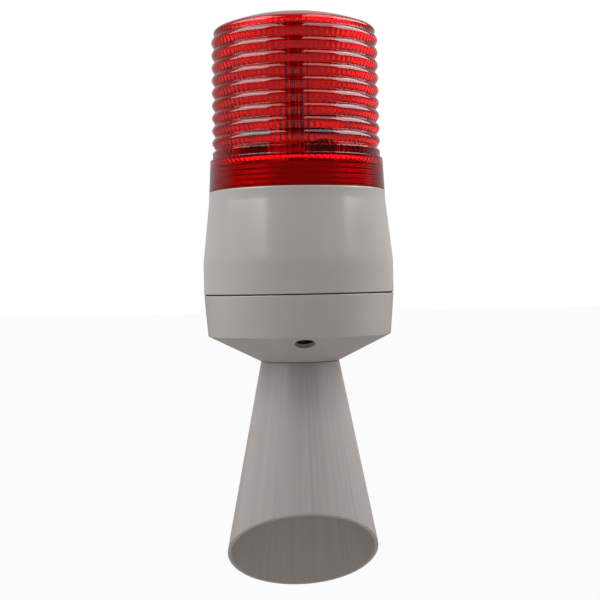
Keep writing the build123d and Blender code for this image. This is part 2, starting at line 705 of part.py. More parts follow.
# domed diaphragm with the voice coil's former standing on it
rest_z = frame_z + SURROUND_TOP + 0.2  # underside of the diaphragm at rest
former_bore = FORMER_RADIUS - DIAPHRAGM_THICKNESS
dome_top_z = rest_z + DOME_HEIGHT
with BuildPart() as diaphragm:
    with BuildSketch(PROFILE):
        with BuildLine():
            flat = Polyline(
                (DIAPHRAGM_RADIUS, rest_z + DIAPHRAGM_THICKNESS),
                (DIAPHRAGM_RADIUS, rest_z),
                (FORMER_RADIUS + 0.4, rest_z),
            )
            dome_arc(FORMER_RADIUS + 0.4, rest_z, dome_top_z)
            Line((0, dome_top_z), (0, dome_top_z + DIAPHRAGM_THICKNESS))
            dome_arc(former_bore, rest_z + 0.7, dome_top_z + DIAPHRAGM_THICKNESS)
            Polyline(
                (former_bore, rest_z + 0.7),
                (former_bore, rest_z + FORMER_HEIGHT),
                (FORMER_RADIUS, rest_z + FORMER_HEIGHT),
                (FORMER_RADIUS, rest_z + DIAPHRAGM_THICKNESS),
                flat @ 0,
            )
        make_face()
    revolve(axis=TURN)
save(diaphragm, "diaphragm")

voice_coil = ring(FORMER_RADIUS, COIL_RADIUS, rest_z + 3.4, rest_z + FORMER_HEIGHT - 0.4)
save(voice_coil, "voice_coil")

top_plate = ring(COIL_RADIUS + 0.6, PLATE_RADIUS, frame_z + CLAMP_TOP, frame_z + PLATE_TOP)
save(top_plate, "top_plate")

magnet = ring(24, 36, frame_z + PLATE_TOP, frame_z + MAGNET_TOP)
save(magnet, "magnet")

yoke = turned(
    (4, frame_z + 9),
    (POLE_RADIUS, frame_z + 9),
    (POLE_RADIUS, frame_z + MAGNET_TOP),
    (35, frame_z + MAGNET_TOP),
    (35, frame_z + YOKE_TOP),
    (4, frame_z + YOKE_TOP),
)
save(yoke, "yoke")

cover_radius = FRAME_RADIUS + 1.6
cover_foot = frame_z + FRAME_FLOOR + 0.2
cover_top = frame_z + COVER_TOP
driver_cover = turned(
    (cover_radius - 1.4, cover_foot),
    (cover_radius, cover_foot),
    (cover_radius, cover_top - 2),
    (cover_radius - 1.6, cover_top),
    (0, cover_top),
    (0, cover_top - 1.8),
    (cover_radius - 2.4, cover_top - 1.8),
    (cover_radius - 1.4, cover_top - 2.8),
)
save(driver_cover, "driver_cover")

# ---------------------------------------------------------------- control board, hung under the deck
pillar_places = around(PILLAR_CIRCLE, PILLAR_ANGLES)
with BuildPart() as control_board:
    with BuildSketch(level(BOARD_Z)):
        Circle(BOARD_RADIUS)
        with Locations(*tie_places):
            Circle(TIE_BOSS_RADIUS + 1, mode=Mode.SUBTRACT)
        with Locations(*pillar_places):
            Circle(HOLE, mode=Mode.SUBTRACT)
    extrude(amount=-BOARD_THICKNESS)
save(control_board, "control_board")

board_pillars = posts(pillar_places, PILLAR_RADIUS, BOARD_Z, DECK_Z, bore=THREAD)
save(board_pillars, "board_pillars")

under_board = BOARD_Z - BOARD_THICKNESS
board_screws = screws(pillar_places, THREAD, HEAD, under_board, 8, down=False)
save(board_screws, "board_screws")

deck_screws = screws(pillar_places, THREAD, HEAD, DECK_TOP_Z, 9)
save(deck_screws, "deck_screws")

# transformer: laminated core with a window, its winding through the window, and its base
core_bottom = under_board - CORE_DROP
window = CORE_WIDTH - 2 * CORE_LEG
with BuildPart() as transformer_core:
    with BuildSketch(level(core_bottom)):
        with Locations(TRANSFORMER):
            Rectangle(CORE_WIDTH, CORE_DEPTH)
    extrude(amount=CORE_DROP - 3)
    with BuildSketch(level(core_bottom + 4)):
        with Locations(TRANSFORMER):
            Rectangle(window, CORE_DEPTH)
    extrude(amount=CORE_DROP - 11, mode=Mode.SUBTRACT)
save(transformer_core, "transformer_core")

winding_bottom = core_bottom + 4.1
transformer_winding = block(*TRANSFORMER, window - 0.2, WINDING_DEPTH, winding_bottom, under_board - 7.1)
save(transformer_winding, "transformer_winding")

transformer_base = block(*TRANSFORMER, CORE_WIDTH, CORE_DEPTH, under_board - 3, under_board)
save(transformer_base, "transformer_base")

with BuildPart() as capacitors:
    with BuildSketch(level(under_board)):
        with Locations(*CAPACITOR_PLACES):
            Circle(CAPACITOR_RADIUS)
    extrude(amount=-CAPACITOR_HEIGHT)
    fillet(capacitors.faces().sort_by(Axis.Z)[: len(CAPACITOR_PLACES)].edges(), 0.8)
save(capacitors, "capacitors")

# amplifier on a finned heat sink
sink_x, sink_y = SINK
sink_face = sink_x - SINK_PLATE / 2
with BuildPart() as heat_sink:
    with BuildSketch(level(under_board - 24)):
        with Locations(SINK):
            Rectangle(SINK_PLATE, SINK_LENGTH)
        with Locations((sink_x + FIN_REACH / 2, sink_y)):
            with GridLocations(1, FIN_PITCH, 1, FIN_COUNT):
                Rectangle(FIN_REACH, 1.4)
    extrude(amount=23)
save(heat_sink, "heat_sink")

amplifier_x = sink_face - AMPLIFIER_THICKNESS / 2
amplifier = block(amplifier_x, sink_y, AMPLIFIER_THICKNESS, 16, under_board - 18, under_board - 1)
save(amplifier, "amplifier")

with BuildPart() as control_chip:
    with BuildSketch(level(under_board - 4)):
        with Locations(CHIP):
            Rectangle(CHIP_WIDTH, CHIP_LENGTH)
    extrude(amount=3.4)
    with BuildSketch(level(under_board - 2.5)):
        with Locations(CHIP):
            with GridLocations(CHIP_WIDTH + 1.4, PIN_PITCH, 2, 9):
                Rectangle(1.4, 0.6)
    extrude(amount=2.5)
save(control_chip, "control_chip")

# screw terminals for the supply and the start signal
terminal_x, terminal_y = TERMINALS
terminal_bottom = under_board - TERMINAL_HEIGHT
terminal_front = Plane(
    origin=(terminal_x, AXIS_Y + terminal_y - TERMINAL_DEPTH / 2, under_board - 5),
    x_dir=(1, 0, 0),
    z_dir=(0, -1, 0),
)
with BuildPart() as terminal_block:
    with BuildSketch(level(terminal_bottom)):
        with Locations(TERMINALS):
            Rectangle(TERMINAL_COUNT * TERMINAL_PITCH + 0.8, TERMINAL_DEPTH)
    extrude(amount=TERMINAL_HEIGHT)
    with BuildSketch(level(terminal_bottom)):
        with Locations(TERMINALS):
            with GridLocations(TERMINAL_PITCH, 1, TERMINAL_COUNT, 1):
                Circle(2.4)
    extrude(amount=6, mode=Mode.SUBTRACT)
    with BuildSketch(terminal_front):
        with GridLocations(TERMINAL_PITCH, 1, TERMINAL_COUNT, 1):
            Rectangle(4, 4)
    extrude(amount=-5, mode=Mode.SUBTRACT)
save(terminal_block, "terminal_block")

with BuildPart() as terminal_screws:
    with BuildSketch(level(terminal_bottom + 3)):
        with Locations(TERMINALS):
            with GridLocations(TERMINAL_PITCH, 1, TERMINAL_COUNT, 1):
                Circle(2.1)
    extrude(amount=3)
    with BuildSketch(level(terminal_bottom + 3)):
        with Locations(TERMINALS):
            with GridLocations(TERMINAL_PITCH, 1, TERMINAL_COUNT, 1):
                Rectangle(3.4, 0.7)
    extrude(amount=1.2, mode=Mode.SUBTRACT)
save(terminal_screws, "terminal_screws")

# volume trimmer and its turning knob
small_bottom = under_board - SMALL_PART_HEIGHT
volume_trimmer = block(*TRIMMER, TRIMMER_SIDE, TRIMMER_SIDE, small_bottom, under_board)
save(volume_trimmer, "volume_trimmer")
with BuildPart() as volume_knob:
    with BuildSketch(level(small_bottom - 0.2)):
        with Locations(TRIMMER):
            Circle(KNOB_RADIUS)
    extrude(amount=-2.8)
    with BuildSketch(level(small_bottom - 3)):
        with Locations(TRIMMER):
            Rectangle(6, 1.1)
    extrude(amount=1.4, mode=Mode.SUBTRACT)
save(volume_knob, "volume_knob")

# tone switch and its slider
with BuildPart() as tone_switch:
    with BuildSketch(level(small_bottom)):
        with Locations(SWITCH):
            Rectangle(14, 6)
    extrude(amount=SMALL_PART_HEIGHT)
    with BuildSketch(level(small_bottom)):
        with Locations(SWITCH):
            Rectangle(8.4, 2.6)
    extrude(amount=2.4, mode=Mode.SUBTRACT)
save(tone_switch, "tone_switch")
switch_x, switch_y = SWITCH
tone_slider = block(switch_x - 2, switch_y, 3.6, 2.2, small_bottom - 2.4, small_bottom + 2.2)
save(tone_slider, "tone_slider")

# ---------------------------------------------------------------- lamp inside the lens
lamp_top = LAMP_BOARD_Z + BOARD_THICKNESS
standoff_places = around(STANDOFF_CIRCLE, STANDOFF_ANGLES)
with BuildPart() as lamp_board:
    with BuildSketch(level(LAMP_BOARD_Z)):
        Circle(LAMP_BOARD_RADIUS)
        with Locations(*standoff_places):
            Circle(HOLE, mode=Mode.SUBTRACT)
        with Locations((0, WIRE_HOLE_Y)):
            Circle(5, mode=Mode.SUBTRACT)
    extrude(amount=BOARD_THICKNESS)
save(lamp_board, "lamp_board")

lamp_board_screws = screws(standoff_places, THREAD, HEAD, lamp_top, 8)
save(lamp_board_screws, "lamp_board_screws")

# three can capacitors that feed the flash
with BuildPart() as flash_capacitors:
    with BuildSketch(level(lamp_top)):
        with Locations(*FLASH_PLACES):
            Circle(FLASH_RADIUS)
    extrude(amount=FLASH_HEIGHT)
    fillet(flash_capacitors.faces().sort_by(Axis.Z)[-len(FLASH_PLACES) :].edges(), 1.5)
save(flash_capacitors, "flash_capacitors")

# square column with a strip of LEDs on each side
with BuildPart() as column_base:
    with BuildSketch(level(lamp_top)):
        Circle(COLUMN_BASE_RADIUS)
        Rectangle(COLUMN_SIDE + 3, COLUMN_SIDE + 3, mode=Mode.SUBTRACT)
    extrude(amount=COLUMN_BASE_HEIGHT)
save(column_base, "column_base")

column_height = COLUMN_TOP_Z - lamp_top
with BuildPart() as column_core:
    with BuildSketch(level(lamp_top)):
        Rectangle(COLUMN_SIDE, COLUMN_SIDE)
        Circle(2.5, mode=Mode.SUBTRACT)
    extrude(amount=column_height)
save(column_core, "column_core")

with BuildPart() as led_strips:
    with BuildSketch(level(lamp_top)):
        with PolarLocations((COLUMN_SIDE + STRIP_THICKNESS) / 2, 4):
            Rectangle(STRIP_THICKNESS, COLUMN_SIDE)
    extrude(amount=column_height)
save(led_strips, "led_strips")

led_pitch = (column_height - FIRST_LED - LAST_LED) / (LED_ROWS - 1)
led_face = COLUMN_SIDE / 2 + STRIP_THICKNESS
with BuildPart() as leds:
    for turn in range(4):
        direction = Vector(cos(radians(90 * turn)), sin(radians(90 * turn)), 0)
        for row in range(LED_ROWS):
            seat = Plane(
                origin=Vector(0, AXIS_Y, lamp_top + FIRST_LED + row * led_pitch) + direction * led_face,
                z_dir=direction,
            )
            with BuildSketch(seat):
                Rectangle(LED_SIDE, LED_SIDE)
            extrude(amount=1.2)
            with BuildSketch(seat.offset(1.2)):
                Circle(2.3)
            extrude(amount=1.4, taper=25)
save(leds, "leds")

with BuildPart() as column_cap:
    with BuildSketch(level(COLUMN_TOP_Z)):
        Circle(9)
    extrude(amount=3)
    with BuildSketch(level(COLUMN_TOP_Z + 3)):
        Circle(6)
    extrude(amount=1.5, taper=30)
save(column_cap, "column_cap")
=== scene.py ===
from math import atan2, cos, pi, radians, sin

import bpy
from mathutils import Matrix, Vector


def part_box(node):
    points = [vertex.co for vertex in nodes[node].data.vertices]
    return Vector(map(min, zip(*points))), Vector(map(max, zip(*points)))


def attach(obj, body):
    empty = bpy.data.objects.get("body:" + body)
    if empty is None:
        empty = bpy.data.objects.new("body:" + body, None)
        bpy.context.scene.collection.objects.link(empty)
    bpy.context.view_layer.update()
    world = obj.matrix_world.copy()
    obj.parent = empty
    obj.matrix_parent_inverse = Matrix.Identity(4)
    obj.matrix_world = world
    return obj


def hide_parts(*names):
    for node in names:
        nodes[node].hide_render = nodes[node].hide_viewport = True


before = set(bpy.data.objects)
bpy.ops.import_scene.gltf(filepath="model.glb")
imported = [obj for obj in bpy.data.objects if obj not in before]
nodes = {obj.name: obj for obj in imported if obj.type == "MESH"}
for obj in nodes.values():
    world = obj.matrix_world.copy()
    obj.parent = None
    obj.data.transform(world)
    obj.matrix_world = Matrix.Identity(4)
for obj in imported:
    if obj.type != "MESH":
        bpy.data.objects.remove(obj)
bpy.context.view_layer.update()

# ---------------------------------------------------------------- studio
# The siren hangs before a white sweep. The camera stands level, a metre in front and a little to the
# left of square, and leans by a degree, so that the siren's top tips to the left.
MM = 0.001
AXIS = Vector((0, (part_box("lens")[0].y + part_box("lens")[1].y) / 2, 0))
SEAM_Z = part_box("upper_housing")[0].z
CAMERA_DISTANCE = 1020.6 * MM
CAMERA_HEIGHT = SEAM_Z + 8.7 * MM
CAMERA_AZIMUTH = radians(-3.4)
CAMERA_LEAN = radians(-1.07)

camera_data = bpy.data.cameras.new("studio_camera")
camera_data.lens = 77.2
camera_data.shift_x = 0.0022
camera_data.shift_y = -0.03
camera = bpy.data.objects.new("studio_camera", camera_data)
bpy.context.collection.objects.link(camera)
camera.location = AXIS + CAMERA_DISTANCE * Vector((sin(CAMERA_AZIMUTH), -cos(CAMERA_AZIMUTH), 0))
camera.location.z = CAMERA_HEIGHT
level_look = (AXIS - camera.location) * Vector((1, 1, 0))
camera.rotation_euler = level_look.to_track_quat("-Z", "Y").to_euler()
camera.rotation_euler.rotate_axis("Z", CAMERA_LEAN)
bpy.context.scene.camera = camera
bpy.context.scene.view_settings.view_transform = "Standard"


def linear(colour):
    """An sRGB hex colour as linear red, green, blue and alpha."""
    channels = [int(colour[at:at + 2], 16) / 255 for at in (1, 3, 5)]
    return [c / 12.92 if c <= 0.04045 else ((c + 0.055) / 1.055) ** 2.4 for c in channels] + [1.0]


def node(tree, kind, settings=None, links=None):
    """Adds one shader node to a material's or world's tree, with its settings and its inputs' links."""
    made = tree.nodes.new(kind)
    for key, value in (settings or {}).items():
        if isinstance(key, str) and key.islower():
            setattr(made, key, value)
        else:
            made.inputs[key].default_value = value
    for key, source in (links or {}).items():
        tree.links.new(source, made.inputs[key])
    return made


def empty_tree(name):
    """A new material with nothing in its tree, and that tree."""
    material = bpy.data.materials.new(name)
    material.use_nodes = True
    material.node_tree.nodes.clear()
    return material, material.node_tree


def softbox(name, centre, aim, width, tall, radiance):
    """A rectangular softbox, its centre and aim in metres from the siren's seam, as bright all over."""
    data = bpy.data.lights.new(name, "AREA")
    data.shape = "RECTANGLE"
    data.size = width
    data.size_y = tall
    data.energy = radiance * pi * width * tall
    lamp = bpy.data.objects.new(name, data)
    bpy.context.collection.objects.link(lamp)
    seam = AXIS + Vector((0, 0, SEAM_Z))
    lamp.location = seam + Vector(centre)
    lamp.rotation_euler = (Vector(aim) - Vector(centre)).to_track_quat("-Z", "Y").to_euler()


# A tall softbox on each side, their lower edges above the lens's collar, and one overhead on each
# side, with a gap between them over the middle.
softbox("left_wall", (-1.03, -0.33, 0.97), (0, 0, 0.97), width=1.25, tall=1.25, radiance=3.9)
softbox("right_wall", (1.08, -0.02, 0.97), (0, 0, 0.97), width=1.25, tall=1.25, radiance=4.8)
softbox("left_ceiling", (-0.80, -0.30, 1.35), (-0.80, -0.30, 0), width=1.0, tall=1.5, radiance=2.2)
softbox("right_ceiling", (0.66, -0.30, 1.35), (0.66, -0.30, 0), width=1.0, tall=1.5, radiance=2.2)


def by_ray(tree, seen, lighting, mirrored):
    """Chooses between three shaders: what the eye sees, what lights the siren, and what it mirrors."""
    ray = node(tree, "ShaderNodeLightPath")
    eye = node(
        tree,
        "ShaderNodeMath",
        {"operation": "MAXIMUM"},
        {0: ray.outputs["Is Camera Ray"], 1: ray.outputs["Is Transmission Ray"]},
    )
    glossy = {0: ray.outputs["Is Glossy Ray"], 1: lighting.outputs[0], 2: mirrored.outputs[0]}
    unseen = node(tree, "ShaderNodeMixShader", links=glossy)
    either = {0: eye.outputs[0], 1: unseen.outputs[0], 2: seen.outputs[0]}
    return node(tree, "ShaderNodeMixShader", links=either)


# The sweep behind the siren is white, and the room in front of it is dim.
world = bpy.data.worlds.new("white_studio")
bpy.context.scene.world = world
world.use_nodes = True
room = world.node_tree
room.nodes.clear()
toward = node(room, "ShaderNodeTexCoord")
axes = node(room, "ShaderNodeSeparateXYZ", links={0: toward.outputs["Generated"]})


def dimmed(front, back, start, end):
    """A background that is this bright in front of the siren and behind it."""
    settings = {"From Min": start, "From Max": end, "To Min": front, "To Max": back}
    strength = node(room, "ShaderNodeMapRange", settings, {"Value": axes.outputs["Y"]})
    tint = {"Color": linear("#f7f3f1")}
    return node(room, "ShaderNodeBackground", tint, {"Strength": strength.outputs[0]})


backdrop = node(room, "ShaderNodeBackground", {"Color": linear("#ffffff"), "Strength": 1.0})
bounce = dimmed(front=0.05, back=0.43, start=-1.0, end=1.0)
dark_room = dimmed(front=0.03, back=0.55, start=0.0, end=0.85)
either = by_ray(room, backdrop, bounce, dark_room)
node(room, "ShaderNodeOutputWorld", links={"Surface": either.outputs[0]})

# White paper floor, below the horn's mouth and open from below, so that it hides nothing there.
FLOOR_SIZE = 30
FLOOR_DROP = 0.12

bpy.ops.object.select_all(action="DESELECT")
floor_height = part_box("horn")[0].z - FLOOR_DROP
bpy.ops.mesh.primitive_plane_add(size=FLOOR_SIZE, location=(0, 0, floor_height))
floor = bpy.context.object
floor.name = "studio_floor"
paper, tree = empty_tree("white_paper")
white = node(tree, "ShaderNodeEmission", {"Color": linear("#ffffff"), "Strength": 0.97})
lighting = node(tree, "ShaderNodeEmission", {"Color": linear("#f7edea"), "Strength": 0.75})
mirrored = node(tree, "ShaderNodeEmission", {"Color": linear("#f7edea"), "Strength": 0.3})
either = by_ray(tree, white, lighting, mirrored)
side = node(tree, "ShaderNodeNewGeometry")
open_below = node(tree, "ShaderNodeBsdfTransparent")
one_sided = {0: side.outputs["Backfacing"], 1: either.outputs[0], 2: open_below.outputs[0]}
sheet = node(tree, "ShaderNodeMixShader", links=one_sided)
node(tree, "ShaderNodeOutputMaterial", links={"Surface": sheet.outputs[0]})
floor.data.materials.append(paper)

# ---------------------------------------------------------------- upper housing
# Barrel of pale warm-grey ABS, injection moulded in one piece with its deck, the lens's neck and the
# pad for the bracket. The designed solid already has its true shape and rounded edges.


def noise(tree, size_mm, detail=2.0, stretch=(1, 1, 1)):
    """Noise in the piece's own coordinates, with lumps of this size in millimetres."""
    place = node(tree, "ShaderNodeTexCoord")
    scaled = node(tree, "ShaderNodeMapping", {"Scale": stretch}, {"Vector": place.outputs["Object"]})
    return node(
        tree,
        "ShaderNodeTexNoise",
        {"Scale": 1 / (size_mm * MM), "Detail": detail},
        {"Vector": scaled.outputs[0]},
    ).outputs[0]


def between(tree, value, low, high, start=0.2, end=0.8):
    """Maps a value running from start to end onto low to high."""
    settings = {"From Min": start, "From Max": end, "To Min": low, "To Max": high}
    return node(tree, "ShaderNodeMapRange", settings, {"Value": value}).outputs["Result"]


def blended(tree, value, low, high):
    """A colour between two sRGB colours, by a value from 0.2 to 0.8."""
    made = node(tree, "ShaderNodeMix", {"data_type": "RGBA", 6: linear(low), 7: linear(high)})
    tree.links.new(between(tree, value, 0, 1), made.inputs[0])
    return made.outputs[2]


def bumped(tree, value, depth_mm, strength=1.0):
    """A normal from a height that swings by this depth in millimetres."""
    settings = {"Strength": strength, "Distance": depth_mm * MM}
    return node(tree, "ShaderNodeBump", settings, {"Height": value}).outputs[0]


def surface(tree, settings, links):
    """Ends a material's tree in one Principled shader."""
    shader = node(tree, "ShaderNodeBsdfPrincipled", settings, links)
    node(tree, "ShaderNodeOutputMaterial", links={"Surface": shader.outputs[0]})


def dress(material, *names):
    """Gives CAD nodes their finish."""
    for name in names:
        nodes[name].data.materials.clear()
        nodes[name].data.materials.append(material)


# Moulded ABS: an even colour with a faint cloudiness, and a satin gloss from a polished mould. The
# mould's spark-eroded grain is about 0.1 mm across, and is drawn at 0.7 mm so that it shows.
housing_abs, tree = empty_tree("moulded_grey_abs")
cloud = noise(tree, 45)
mould_grain = noise(tree, 0.7, 1.0)
surface(
    tree,
    {"IOR": 1.53, "Specular IOR Level": 0.65},
    {
        "Base Color": blended(tree, cloud, "#a2a09d", "#a8a6a3"),
        "Roughness": between(tree, cloud, 0.17, 0.22),
        "Normal": bumped(tree, mould_grain, 0.002, 0.4),
    },
)
dress(housing_abs, "upper_housing", "lower_housing")

# ---------------------------------------------------------------- housing seal and lens seal
# Two flat rings of black EPDM rubber, stamped from sheet: one lies in the seam between the housings,
# the other under the lens's collar. Rubber is matt, with a dusty bloom.
rubber, tree = empty_tree("stamped_black_rubber")
bloom = noise(tree, 2.5)
surface(
    tree,
    {"IOR": 1.5, "Specular IOR Level": 0.3},
    {
        "Base Color": blended(tree, bloom, "#141414", "#232221"),
        "Roughness": between(tree, bloom, 0.7, 0.9),
        "Normal": bumped(tree, noise(tree, 0.4), 0.02),
    },
)
dress(rubber, "housing_seal", "lens_seal", "driver_gasket", "horn_o_ring")

# ---------------------------------------------------------------- horn
# Long cone of the same grey ABS with its mouth cut off obliquely. It is turned by hand to aim the
# sound. Faint streaks run down the cone: streaks of roughness and bump, and lighter and darker
# streaks in its colour, which are painted reflections of the softboxes.
HORN_STREAKS = 60
STREAKS_PER_METRE = 3.0  # along the cone

horn_abs, tree = empty_tree("abs_with_painted_streak_sheen")
place = node(tree, "ShaderNodeTexCoord")
from_axis = {"operation": "SUBTRACT", 1: AXIS}
centred = node(tree, "ShaderNodeVectorMath", from_axis, {0: place.outputs["Object"]})
split = node(tree, "ShaderNodeSeparateXYZ", links={0: centred.outputs[0]})
sides = {0: split.outputs[0], 1: split.outputs[1]}
turn = node(tree, "ShaderNodeMath", {"operation": "ARCTAN2"}, sides)
close_set = {"operation": "MULTIPLY", 1: HORN_STREAKS / pi}
around = node(tree, "ShaderNodeMath", close_set, {0: turn.outputs[0]})
drawn_out = {"operation": "MULTIPLY", 1: STREAKS_PER_METRE}
down = node(tree, "ShaderNodeMath", drawn_out, {0: split.outputs[2]})
flat = node(tree, "ShaderNodeCombineXYZ", links={0: around.outputs[0], 2: down.outputs[0]})
streak_noise = node(tree, "ShaderNodeTexNoise", {"Scale": 1.0, "Detail": 2.0}, {"Vector": flat.outputs[0]})
streaks_and_painted_sheen = streak_noise.outputs[0]
surface(
    tree,
    {"IOR": 1.53, "Specular IOR Level": 0.6},
    {
        # painted reflection: the lighter and darker colour streaks stand in for the softboxes'
        # reflections; the roughness and bump streaks are the surface's own
        "Base Color": blended(tree, streaks_and_painted_sheen, "#9f9c9a", "#aaa8a5"),
        "Roughness": between(tree, streaks_and_painted_sheen, 0.26, 0.34),
        "Normal": bumped(tree, streaks_and_painted_sheen, 0.01, 0.25),
    },
)
dress(horn_abs, "horn")

# ---------------------------------------------------------------- wall bracket
# Hat-shaped pressing in 2.5 mm steel, zinc plated. Plating gives a soft grey sheen with a fine
# crystal mottle, and the shears and the press brake leave every edge a little round.


def reworked(name, edge_mm, segments=2):
    """A piece made from a CAD node's shape, merged and with its sharp edges rounded."""
    bpy.ops.object.select_all(action="DESELECT")
    piece = nodes[name].copy()
    piece.data = nodes[name].data.copy()
    piece.name = piece.data.name = name + "_finished"
    piece.parent = None
    bpy.context.collection.objects.link(piece)
    piece.select_set(True)
    bpy.context.view_layer.objects.active = piece
    if piece.data.has_custom_normals:
        bpy.ops.mesh.customdata_custom_splitnormals_clear()
    bpy.ops.object.mode_set(mode="EDIT")
    bpy.ops.mesh.select_all(action="SELECT")
    bpy.ops.mesh.remove_doubles(threshold=0.002 * MM)
    bpy.ops.mesh.dissolve_limited(angle_limit=radians(0.5))
    bpy.ops.object.mode_set(mode="OBJECT")
    rounded(piece, edge_mm, segments, flat=True)
    return piece


def rounded(piece, edge_mm, segments=2, angle=35, flat=False):
    """Bevels a piece's sharp edges, keeps its flat faces flat where asked, and smooths what is left."""
    bpy.context.view_layer.objects.active = piece
    bpy.ops.object.shade_smooth_by_angle(angle=radians(angle))
    bevel = piece.modifiers.new("edges", "BEVEL")
    bevel.width = edge_mm * MM
    bevel.segments = segments
    bevel.limit_method = "ANGLE"
    bevel.angle_limit = radians(angle)
    bevel.harden_normals = flat
    bpy.ops.object.modifier_apply(modifier=bevel.name)
    if not flat:
        bpy.ops.object.shade_smooth_by_angle(angle=radians(angle))


def fitted(piece, material, body, slot, *replaced):
    """Gives a finished piece its material and its body, and hides the CAD nodes it stands for. The slot
    argument is not used.
    """
    piece.data.materials.clear()
    piece.data.materials.append(material)
    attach(piece, body)
    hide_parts(*replaced)


zinc, tree = empty_tree("zinc_plated_steel")
crystals = noise(tree, 3.0, 4.0)
surface(
    tree,
    {"Metallic": 1.0},
    {
        "Base Color": blended(tree, crystals, "#a9abac", "#c3c4c2"),
        "Roughness": between(tree, crystals, 0.30, 0.46),
        "Normal": bumped(tree, noise(tree, 0.8), 0.01),
    },
)
fitted(reworked("wall_bracket", 0.5), zinc, "housing", "bracket_steel", "wall_bracket")

# ---------------------------------------------------------------- screws, washers and inserts
# Turned and cold-headed steel, bright zinc plated, in brass inserts that were pressed into the
# mouldings hot. Small bright metal: the plating is smoother than on the bracket.
bright_zinc, tree = empty_tree("bright_zinc_plated_steel")
handled = noise(tree, 1.5)
surface(
    tree,
    {"Metallic": 1.0},
    {
        "Base Color": blended(tree, handled, "#b6b8ba", "#cfd0cf"),
        "Roughness": between(tree, handled, 0.18, 0.32),
    },
)
screw_nodes = (
    "tie_screws",
    "bracket_washers",
    "horn_retaining_ring",
    "driver_screws",
    "board_screws",
    "deck_screws",
    "lamp_board_screws",
    "terminal_screws",
    "top_plate",
    "yoke",
)
dress(bright_zinc, *screw_nodes)
fitted(reworked("bracket_screws", 0.4), bright_zinc, "housing", "screw_steel", "bracket_screws")

brass, tree = empty_tree("turned_brass")
lathe = noise(tree, 0.3, 1.0, stretch=(0.1, 0.1, 1))
surface(
    tree,
    {"Metallic": 1.0},
    {
        "Base Color": blended(tree, lathe, "#b8923f", "#d2ad5c"),
        "Roughness": between(tree, lathe, 0.22, 0.36),
        "Normal": bumped(tree, lathe, 0.01),
    },
)
dress(brass, "tie_inserts", "bracket_inserts", "board_pillars")

# ---------------------------------------------------------------- horn driver
# Die-cast frame, black plastic phase plug and cover, ferrite magnet between steel plates, and a
# phenolic cloth diaphragm with a copper voice coil. Only the plug shows, up inside the horn's throat.
cast, tree = empty_tree("die_cast_aluminium")
skin = noise(tree, 1.2, 3.0)
surface(
    tree,
    {"Metallic": 1.0},
    {
        "Base Color": blended(tree, skin, "#9b9d9f", "#b4b6b7"),
        "Roughness": between(tree, skin, 0.42, 0.6),
        "Normal": bumped(tree, skin, 0.03),
    },
)
dress(cast, "driver_frame", "column_core")

black_moulding, tree = empty_tree("spark_eroded_black_plastic")
texture = noise(tree, 0.5, 2.0)
surface(
    tree,
    {"IOR": 1.5},
    {
        "Base Color": blended(tree, texture, "#17181a", "#222325"),
        "Roughness": between(tree, texture, 0.45, 0.62),
        "Normal": bumped(tree, texture, 0.03),
    },
)
dress(black_moulding, "phase_plug", "driver_cover", "clamp_ring", "column_base", "column_cap")
dress(black_moulding, "transformer_base", "volume_trimmer", "tone_switch", "amplifier", "control_chip")

ferrite, tree = empty_tree("sintered_ferrite")
grains = noise(tree, 0.8, 4.0)
surface(
    tree,
    {"IOR": 2.2},
    {
        "Base Color": blended(tree, grains, "#1d1d1f", "#2e2d2e"),
        "Roughness": between(tree, grains, 0.5, 0.75),
        "Normal": bumped(tree, grains, 0.03),
    },
)
dress(ferrite, "magnet")

phenolic, tree = empty_tree("phenolic_cloth")
warp = noise(tree, 0.8, 0.0, stretch=(1, 0.1, 1))
weft = noise(tree, 0.8, 0.0, stretch=(0.1, 1, 1))
woven = node(tree, "ShaderNodeMath", {"operation": "ADD"}, {0: warp, 1: weft}).outputs[0]
surface(
    tree,
    {"IOR": 1.55, "Coat Weight": 0.3},
    {
        "Base Color": blended(tree, warp, "#7a4c1e", "#94612a"),
        "Roughness": between(tree, weft, 0.3, 0.5),
        "Normal": bumped(tree, woven, 0.02),
    },
)
dress(phenolic, "diaphragm", "diaphragm_surround")

copper, tree = empty_tree("enamelled_copper_wire")
turns = noise(tree, 0.35, 0.0, stretch=(0.02, 0.02, 1))
surface(
    tree,
    {"Metallic": 1.0, "Coat Weight": 0.5},
    {
        "Base Color": blended(tree, turns, "#8a3f1c", "#c8743c"),
        "Roughness": between(tree, turns, 0.25, 0.4),
        "Normal": bumped(tree, turns, 0.1),
    },
)
dress(copper, "voice_coil")

# ---------------------------------------------------------------- control board and its parts
# Glass-fibre board with a green solder mask, seen as lighter lines where copper tracks run under it.
# Under it hang the transformer, capacitors, amplifier, terminals, volume trimmer and tone switch.
TRACK_MM = 3.2


def solder_mask(name, mask, track):
    """A board's lacquer, with tracks on a square grid that noise breaks up."""
    material, tree = empty_tree(name)
    place = node(tree, "ShaderNodeTexCoord")
    grid = node(
        tree,
        "ShaderNodeTexBrick",
        {
            "Color1": (0, 0, 0, 1),
            "Color2": (0.25, 0.25, 0.25, 1),
            "Mortar": (1, 1, 1, 1),
            "Scale": 1 / (TRACK_MM * MM),
            "Mortar Size": 0.06,
            "Brick Width": 2.2,
            "Row Height": 0.7,
        },
        {"Vector": place.outputs["Object"]},
    )
    broken = node(
        tree,
        "ShaderNodeMath",
        {"operation": "MULTIPLY"},
        {0: grid.outputs["Color"], 1: between(tree, noise(tree, 9), 0, 1, 0.42, 0.5)},
    ).outputs[0]
    surface(
        tree,
        {"IOR": 1.55, "Coat Weight": 0.4, "Coat Roughness": 0.15},
        {
            "Base Color": blended(tree, broken, mask, track),
            "Roughness": between(tree, broken, 0.34, 0.28),
            "Normal": bumped(tree, broken, 0.035),
        },
    )
    return material


dress(solder_mask("green_solder_mask", "#0d3d1e", "#1f6a36"), "control_board", "led_strips")
dress(solder_mask("white_solder_mask", "#d9d9d2", "#c6c8bd"), "lamp_board")

